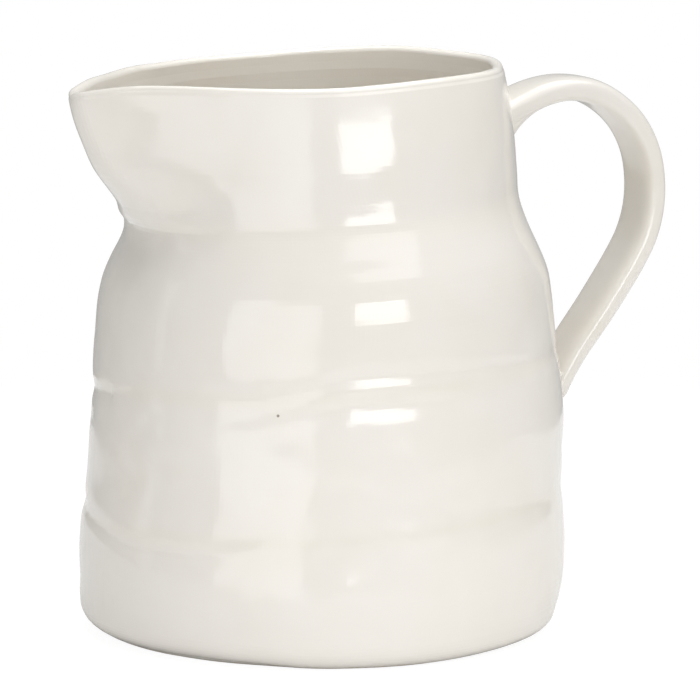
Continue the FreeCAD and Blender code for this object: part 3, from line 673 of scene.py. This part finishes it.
def neck_section(low):
    """Closed section of the neck from the waist up over the rim and down inside."""
    wall, lip = measures()
    section = outside_line(low, RIM - lip / 2)[:-1] + rim_points(lip)
    section += inside_line(joint_point(low, wall)[1], RIM - lip / 2, wall, lip)[1:]
    return section


def whole_section():
    """Closed section of the whole wall in one, for its shading."""
    wall, lip = measures()
    section = corner_points()[:-1] + outside_line(CORNER, LOWER_SEAM)[:-1]
    section += outside_line(LOWER_SEAM, UPPER_SEAM)[:-1] + outside_line(UPPER_SEAM, WAIST)[:-1]
    section += outside_line(WAIST, RIM - lip / 2)[:-1] + rim_points(lip)
    section += inside_line(FLOOR_TOP + COVE, RIM - lip / 2, wall, lip)[1:-1] + cove_points(wall)
    section += [(FLOOR_EDGE, FLOOR_TOP), (FLOOR_EDGE + FLOOR_SPREAD, 0.0)]
    return section


def notch_wedge():
    """A three-sided wedge that fills the notch in the neck."""
    low, half = LIP_NOTCH
    roof = RIM + 40.0
    half = half * (roof - low) / (RIM - low)
    wedge = start_primitive(
        bpy.ops.mesh.primitive_cylinder_add, "lip_wedge", vertices=3, radius=1.0, depth=1.0
    )
    corners = ((0.0, low), (half, roof), (-half, roof))
    order = np.argsort([math.atan2(v.co.y, v.co.x) for v in wedge.data.vertices if v.co.z < 0])
    points = np.zeros((6, 3))
    lows = [v.index for v in wedge.data.vertices if v.co.z < 0]
    for rank, corner in zip(order, corners):
        index = lows[rank]
        co = wedge.data.vertices[index].co
        twin = next(v.index for v in wedge.data.vertices if v.co.z > 0 and (v.co.xy - co.xy).length < 0.01)
        points[index] = (-160.0, *corner)
        points[twin] = (0.0, *corner)
    write_points(wedge, points)
    bpy.ops.object.mode_set(mode="EDIT")
    bpy.ops.mesh.select_all(action="SELECT")
    bpy.ops.mesh.normals_make_consistent(inside=False)
    bpy.ops.object.mode_set(mode="OBJECT")
    return wedge


def cut_lip(piece, keep_lip):
    """Cut the neck piece along the notch, and keep the lip or the rest."""
    wedge = notch_wedge()
    bpy.ops.object.select_all(action="DESELECT")
    piece.select_set(True)
    bpy.context.view_layer.objects.active = piece
    cut = piece.modifiers.new("notch", "BOOLEAN")
    cut.object = wedge
    cut.operation = "INTERSECT" if keep_lip else "DIFFERENCE"
    cut.solver = "EXACT"
    bpy.ops.object.modifier_apply(modifier=cut.name)
    bpy.data.objects.remove(wedge)


def strap_tables():
    """Smooth functions of the distance along the handle: two for place, thickness and width."""
    rows = np.array(STRAP_LINE)
    gaps = np.hypot(np.diff(rows[:, 0]), np.diff(rows[:, 1]))
    run = np.concatenate(([0.0], np.cumsum(gaps)))
    return run[-1], [smooth_table(list(zip(run, rows[:, column]))) for column in range(4)]


def strap_frame(run):
    """Middle, outward direction, thickness and width of the strap at distances along it."""
    _, (at_x, at_z, at_thick, at_wide) = strap_tables()
    middle = np.stack((at_x(run), at_z(run)), axis=-1)
    ahead = np.stack((at_x(run + 0.5), at_z(run + 0.5)), axis=-1)
    behind = np.stack((at_x(run - 0.5), at_z(run - 0.5)), axis=-1)
    along = ahead - behind
    along /= np.linalg.norm(along, axis=-1, keepdims=True)
    outward = np.stack((-along[..., 1], along[..., 0]), axis=-1)
    return middle, along, outward, at_thick(run), at_wide(run)


def strap_surface(run, turn):
    """Points on the strap's skin: turn runs round its section, from its outer face."""
    middle, along, outward, thick, wide = strap_frame(run)
    power = 2 / 3.0
    c, s = np.cos(turn), np.sin(turn)
    across = np.sign(c) * np.abs(c) ** power * thick / 2
    side = np.sign(s) * np.abs(s) ** power * wide / 2
    across = across + np.where(c < 0, 0.5 * (1 - np.abs(s) ** 2), 0.0)
    x = middle[..., 0] + outward[..., 0] * across
    z = middle[..., 1] + outward[..., 1] * across
    return np.stack((x, side, z), axis=-1), along


def section_turn(angle):
    """Spread points evenly round the strap's flattened section."""
    return angle + 0.18 * np.sin(2 * angle)


def make_rod(name, around, rings, ends):
    """A straight rod one unit long with rings along it, to be bent into a piece."""
    piece = start_primitive(
        bpy.ops.mesh.primitive_cylinder_add, name, vertices=around, radius=1.0, depth=1.0,
        end_fill_type=ends,
    )
    bpy.ops.object.mode_set(mode="EDIT")
    bpy.ops.mesh.select_mode(type="EDGE")
    bpy.ops.mesh.select_all(action="DESELECT")
    bpy.ops.object.mode_set(mode="OBJECT")
    for edge in piece.data.edges:
        first, second = (piece.data.vertices[index].co for index in edge.vertices)
        edge.select = abs(first.z - second.z) > 0.5
    bpy.ops.object.mode_set(mode="EDIT")
    bpy.ops.mesh.subdivide(number_cuts=rings)
    bpy.ops.object.mode_set(mode="OBJECT")
    return piece


def face_outward():
    """Turn the faces of the piece in hand outward."""
    bpy.ops.object.mode_set(mode="EDIT")
    bpy.ops.mesh.select_mode(type="VERT")
    bpy.ops.mesh.select_all(action="SELECT")
    bpy.ops.mesh.normals_make_consistent(inside=False)
    bpy.ops.object.mode_set(mode="OBJECT")


def make_strap():
    """The strap: a rod with many rings, laid along its bent line."""
    length, _ = strap_tables()
    piece = make_rod("handle_strap", STRAP_SIDES, STRAP_RINGS, "NGON")
    plain = read_points(piece) * MM
    run = (plain[:, 2] + 0.5) * length
    turn = section_turn(np.arctan2(plain[:, 1], plain[:, 0]))
    points, _ = strap_surface(run, turn)
    write_points(piece, points)
    soften_tail(piece, length)
    face_outward()
    return piece


def soften_tail(piece, length):
    """Round the strap's end by drawing its last rings in."""
    points = read_points(piece)
    middle, along, outward, _, _ = strap_frame(np.array([length]))
    end = np.array((middle[0, 0], 0.0, middle[0, 1]))
    heading = np.array((along[0, 0], 0.0, along[0, 1]))
    left = -(points - end) @ heading
    close = (left < 3.0) & (np.linalg.norm(points - end, axis=1) < 20.0)
    pull = np.sqrt(np.clip(1 - (1 - np.clip(left, 0, 3.0) / 3.0) ** 2, 0.15, 1.0))
    axis_points = end - np.outer(left, heading)
    points[close] = axis_points[close] + (points - axis_points)[close] * pull[close][:, None]
    write_points(piece, points)


def wall_tree(piece):
    """Search tree of a wall piece, in millimetres."""
    points = [Vector(point) for point in read_points(piece)]
    return BVHTree.FromPolygons(points, [tuple(face.vertices) for face in piece.data.polygons])


def make_luting(name, run, centre, reach, flow, tree):
    """A skirt of smeared clay from a ring on the strap out to its footprint on the wall.

    Every line of it leaves along the strap and arrives along the wall."""
    piece = make_rod(name, SKIRT_SIDES, SKIRT_RINGS, "NOTHING")
    plain = read_points(piece) * MM
    share = plain[:, 2] + 0.5
    angle = np.arctan2(plain[:, 1], plain[:, 0])
    up, down, wide = reach
    top, along = strap_surface(np.full(len(plain), float(run)), section_turn(angle))
    along = np.stack((along[:, 0], np.zeros(len(plain)), along[:, 1]), axis=1)
    if along[0, 0] > 0:
        along = -along
    feet, leave = [], []
    for turn in angle:
        c, s = math.cos(turn), math.sin(turn)
        tall = up if c > 0 else down
        spots = []
        for grow in (1.0, 1.06):
            y, z = s * wide * grow, centre + c * tall * grow
            hit = tree.ray_cast(Vector((160.0, y, z)), Vector((-1, 0, 0)))[0]
            if hit is None:
                raise RuntimeError(f"{name} misses the wall at {y:.1f}, {z:.1f}")
            spots.append(np.array(hit))
        feet.append(spots[0])
        heading = spots[1] - spots[0]
        leave.append(heading / np.linalg.norm(heading))
    feet, leave = np.array(feet), np.array(leave)
    gap = np.linalg.norm(feet - top, axis=1)[:, None]
    t = share[:, None]
    points = (
        (2 * t**3 - 3 * t**2 + 1) * top
        + (t**3 - 2 * t**2 + t) * along * gap * flow
        + (3 * t**2 - 2 * t**3) * feet
        + (t**3 - t**2) * leave * gap * flow
    )
    points[:, 0] -= 0.08 * (share > 0.999)
    write_points(piece, points)
    face_outward()
    return piece


class PITCHER_OT_wall_form(bpy.types.Operator):
    """Lay out the unbroken wall that lends its shading to the bands"""

    bl_idname = "pitcher.wall_form"
    bl_label = "Wall form"

    def execute(self, context):
        turn_wall("wall_form", whole_section())
        return {"FINISHED"}


def glaze():
    """The one glaze that every piece wears."""
    return make_glaze(bpy.context.scene.pitcher_colours)


class PITCHER_OT_floor_slab(bpy.types.Operator):
    """Round floor slab with a shallow hollow underneath"""

    bl_idname = "pitcher.floor_slab"
    bl_label = "Floor slab"

    def execute(self, context):
        radius, depth = HOLLOW
        section = [(0.02, depth)] + [(r, depth) for r in steps(8.0, radius - 1.6, 6.0)]
        turns = (0, 0.4, 0.8, 1.2, 1.57)
        section += [(radius - 1.6 + 1.6 * math.sin(t), depth * math.cos(t) ** 2) for t in turns]
        section += [(radius + 3.0, 0.0), (FLOOR_EDGE + FLOOR_SPREAD, 0.0), (FLOOR_EDGE, FLOOR_TOP)]
        section += [(r, FLOOR_TOP) for r in steps(FLOOR_EDGE - 4, 2.0, 6.0)] + [(0.02, FLOOR_TOP)]
        piece = turn_section("floor_slab_glazed", section, 128)
        finish_piece(piece, "floor_slab", glaze())
        return {"FINISHED"}


class PITCHER_OT_lower_band(bpy.types.Operator):
    """First band of the wall, with the rounded bottom corner"""

    bl_idname = "pitcher.lower_band"
    bl_label = "Lower band"

    def execute(self, context):
        piece = turn_wall("lower_band_glazed", lower_section())
        finish_piece(piece, "lower_band", glaze())
        borrow_normals(piece, bpy.data.objects["wall_form"])
        return {"FINISHED"}


class PITCHER_OT_middle_band(bpy.types.Operator):
    """Second band of the wall, between the two soft grooves"""

    bl_idname = "pitcher.middle_band"
    bl_label = "Middle band"

    def execute(self, context):
        piece = turn_wall("middle_band_glazed", band_section(LOWER_SEAM, UPPER_SEAM))
        finish_piece(piece, "middle_band", glaze())
        borrow_normals(piece, bpy.data.objects["wall_form"])
        return {"FINISHED"}


class PITCHER_OT_shoulder_band(bpy.types.Operator):
    """Third band, which turns in to the waist"""

    bl_idname = "pitcher.shoulder_band"
    bl_label = "Shoulder band"

    def execute(self, context):
        piece = turn_wall("shoulder_band_glazed", band_section(UPPER_SEAM, WAIST))
        finish_piece(piece, "shoulder_band", glaze())
        borrow_normals(piece, bpy.data.objects["wall_form"])
        return {"FINISHED"}


class PITCHER_OT_neck_band(bpy.types.Operator):
    """Collar from the waist up to the rounded rim, cut away for the pouring lip"""

    bl_idname = "pitcher.neck_band"
    bl_label = "Neck band"

    def execute(self, context):
        piece = turn_wall("neck_band_glazed", neck_section(WAIST))
        cut_lip(piece, keep_lip=False)
        finish_piece(piece, "neck_band", glaze())
        borrow_normals(piece, bpy.data.objects["wall_form"])
        return {"FINISHED"}


class PITCHER_OT_pouring_lip(bpy.types.Operator):
    """Beak that is luted on the slanted cut of the neck"""

    bl_idname = "pitcher.pouring_lip"
    bl_label = "Pouring lip"

    def execute(self, context):
        piece = turn_wall("pouring_lip_glazed", neck_section(WAIST))
        cut_lip(piece, keep_lip=True)
        finish_piece(piece, "pouring_lip", glaze())
        borrow_normals(piece, bpy.data.objects["wall_form"])
        return {"FINISHED"}


class PITCHER_OT_handle_strap(bpy.types.Operator):
    """Pulled strap of clay, bent into the handle"""

    bl_idname = "pitcher.handle_strap"
    bl_label = "Handle strap"

    def execute(self, context):
        piece = make_strap()
        finish_piece(piece, "handle_strap", glaze())
        return {"FINISHED"}


class PITCHER_OT_lutings(bpy.types.Operator):
    """Soft clay smeared round both ends of the strap"""

    bl_idname = "pitcher.lutings"
    bl_label = "Luting clay"

    def execute(self, context):
        tree = wall_tree(bpy.data.objects["wall_form"])
        upper = make_luting("upper_luting_glazed", *UPPER_SKIRT, tree)
        finish_piece(upper, "upper_luting", glaze())
        length, _ = strap_tables()
        tail, *rest = LOWER_SKIRT
        lower = make_luting("lower_luting_glazed", length - tail, *rest, tree)
        finish_piece(lower, "lower_luting", glaze())
        bpy.data.objects.remove(bpy.data.objects["wall_form"])
        return {"FINISHED"}


# ---------------------------------------------------------------- the studio


def aim(thing, place, target):
    """Put a lamp or the camera at a place and turn it to a target."""
    thing.location = place
    thing.rotation_euler = (Vector(target) - Vector(place)).to_track_quat("-Z", "Y").to_euler()


def add_softbox(name, place, target, size, power, colour):
    """A rectangular softbox."""
    lamp = start_primitive(bpy.ops.object.light_add, name, type="AREA")
    lamp.data.shape = "RECTANGLE"
    lamp.data.size, lamp.data.size_y = size
    lamp.data.energy = power
    lamp.data.color = colour
    aim(lamp, place, target)
    return lamp


def add_snoot(name, place, target, angle, power, colour):
    """A narrow lamp, with its full angle in degrees."""
    lamp = start_primitive(bpy.ops.object.light_add, name, type="SPOT")
    lamp.data.spot_size = math.radians(angle)
    lamp.data.spot_blend = 0.3
    lamp.data.shadow_soft_size = 0.02
    lamp.data.energy = power
    lamp.data.color = colour
    aim(lamp, place, target)
    return lamp


def polar(azimuth, distance, height):
    """A place round the pot: azimuth in degrees from straight in front."""
    turn = math.radians(azimuth)
    return (math.sin(turn) * distance, -math.cos(turn) * distance, height)


def make_floor():
    """Wide pale floor that keeps the shadow and looks white to the camera."""
    floor = start_primitive(
        bpy.ops.mesh.primitive_circle_add, "studio_floor", vertices=96, radius=0.55, fill_type="NGON"
    )
    r = Recipe("pale_floor")
    cloud = r.add("ShaderNodeTexNoise", None, {"Scale": 3.0, "Detail": 2.0})
    tone = r.mix(cloud, (0.9, 0.9, 0.9), (0.92, 0.92, 0.92))
    paper = r.add("ShaderNodeBsdfDiffuse", None, {"Color": tone})
    white = r.add("ShaderNodeEmission", None, {"Color": (1.0, 1.0, 1.0), "Strength": 1.1})
    camera = r.add("ShaderNodeLightPath", output=0)
    blend = r.add("ShaderNodeMixShader", None, {0: camera * 0.85, 1: paper, 2: white})
    out = r.tree.nodes.new("ShaderNodeOutputMaterial")
    r.tree.links.new(blend.socket, out.inputs["Surface"])
    floor.data.materials.append(r.material)


def make_world(strength):
    """Even room light, white where the camera sees it."""
    world = bpy.data.worlds.new("studio_room")
    bpy.context.scene.world = world
    world.use_nodes = True
    tree = world.node_tree
    tree.nodes.clear()
    path = tree.nodes.new("ShaderNodeLightPath")
    room = tree.nodes.new("ShaderNodeBackground")
    room.inputs["Color"].default_value = (1.0, 0.995, 0.985, 1.0)
    room.inputs["Strength"].default_value = strength
    white = tree.nodes.new("ShaderNodeBackground")
    white.inputs["Color"].default_value = (1.0, 1.0, 1.0, 1.0)
    mix = tree.nodes.new("ShaderNodeMixShader")
    out = tree.nodes.new("ShaderNodeOutputWorld")
    tree.links.new(path.outputs["Is Camera Ray"], mix.inputs[0])
    tree.links.new(room.outputs[0], mix.inputs[1])
    tree.links.new(white.outputs[0], mix.inputs[2])
    tree.links.new(mix.outputs[0], out.inputs["Surface"])


class PITCHER_OT_studio(bpy.types.Operator):
    """Pale floor, softboxes, room light and the camera"""

    bl_idname = "pitcher.studio"
    bl_label = "Studio"

    def execute(self, context):
        studio = context.scene.pitcher_studio
        make_floor()
        make_world(studio.sky)
        front, pot, tint = FRONT, POT, LAMP_TINT
        add_softbox("softbox_right", polar(front + 27, 1.5, 0.285), pot, (0.86, 0.34), studio.key, tint)
        add_softbox("softbox_left", polar(front - 28, 1.5, 0.19), pot, (1.2, 0.66), studio.fill, tint)
        add_softbox("strip_left", polar(front - 89, 1.5, 0.30), pot, (0.16, 0.8), studio.strip, tint)
        add_softbox("top_light", (0.25, 0.1, 1.5), pot, (1.4, 1.4), studio.top, tint)
        add_softbox("high_light", polar(front + 38, 1.1, 1.15), pot, (1.0, 0.6), studio.high, tint)
        add_snoot("mouth_light", (0.0, 0.0, 1.5), pot, 5.0, studio.mouth, tint)
        camera = start_primitive(bpy.ops.object.camera_add, "studio_camera")
        camera.data.lens = LENS
        camera.data.sensor_width = 36.0
        camera.data.shift_x, camera.data.shift_y = LENS_SHIFT
        camera.data.clip_end = 50.0
        aim(camera, polar(front, 2.0, 0.408), pot)
        context.scene.camera = camera
        context.scene.view_settings.view_transform = "Standard"
        return {"FINISHED"}


class PITCHER_PT_panel(bpy.types.Panel):
    """Lists the pitcher's pieces and settings"""

    bl_idname = "PITCHER_PT_panel"
    bl_label = "Ceramic pitcher"
    bl_space_type = "VIEW_3D"
    bl_region_type = "UI"
    bl_category = "Pitcher"

    def draw(self, context):
        for group in (
            context.scene.pitcher_sizes, context.scene.pitcher_colours, context.scene.pitcher_studio
        ):
            box = self.layout.box()
            for name in group.bl_rna.properties.keys():
                if name not in ("rna_type", "name"):
                    box.prop(group, name)
        for operator in OPERATORS:
            self.layout.operator(operator.bl_idname)


OPERATORS = (
    PITCHER_OT_wall_form,
    PITCHER_OT_floor_slab,
    PITCHER_OT_lower_band,
    PITCHER_OT_middle_band,
    PITCHER_OT_shoulder_band,
    PITCHER_OT_neck_band,
    PITCHER_OT_pouring_lip,
    PITCHER_OT_handle_strap,
    PITCHER_OT_lutings,
    PITCHER_OT_studio,
)
CLASSES = (ClaySizes, GlazeColours, StudioSetup, *OPERATORS, PITCHER_PT_panel)


def register():
    for cls in CLASSES:
        bpy.utils.register_class(cls)
    bpy.types.Scene.pitcher_sizes = PointerProperty(type=ClaySizes)
    bpy.types.Scene.pitcher_colours = PointerProperty(type=GlazeColours)
    bpy.types.Scene.pitcher_studio = PointerProperty(type=StudioSetup)


def unregister():
    del bpy.types.Scene.pitcher_studio
    del bpy.types.Scene.pitcher_colours
    del bpy.types.Scene.pitcher_sizes
    for cls in reversed(CLASSES):
        bpy.utils.unregister_class(cls)


def main():
    register()
    bpy.ops.pitcher.wall_form()
    bpy.ops.pitcher.floor_slab()
    bpy.ops.pitcher.lower_band()
    bpy.ops.pitcher.middle_band()
    bpy.ops.pitcher.shoulder_band()
    bpy.ops.pitcher.neck_band()
    bpy.ops.pitcher.pouring_lip()
    bpy.ops.pitcher.handle_strap()
    bpy.ops.pitcher.lutings()
    bpy.ops.pitcher.studio()


if __name__ == "__main__":
    main()
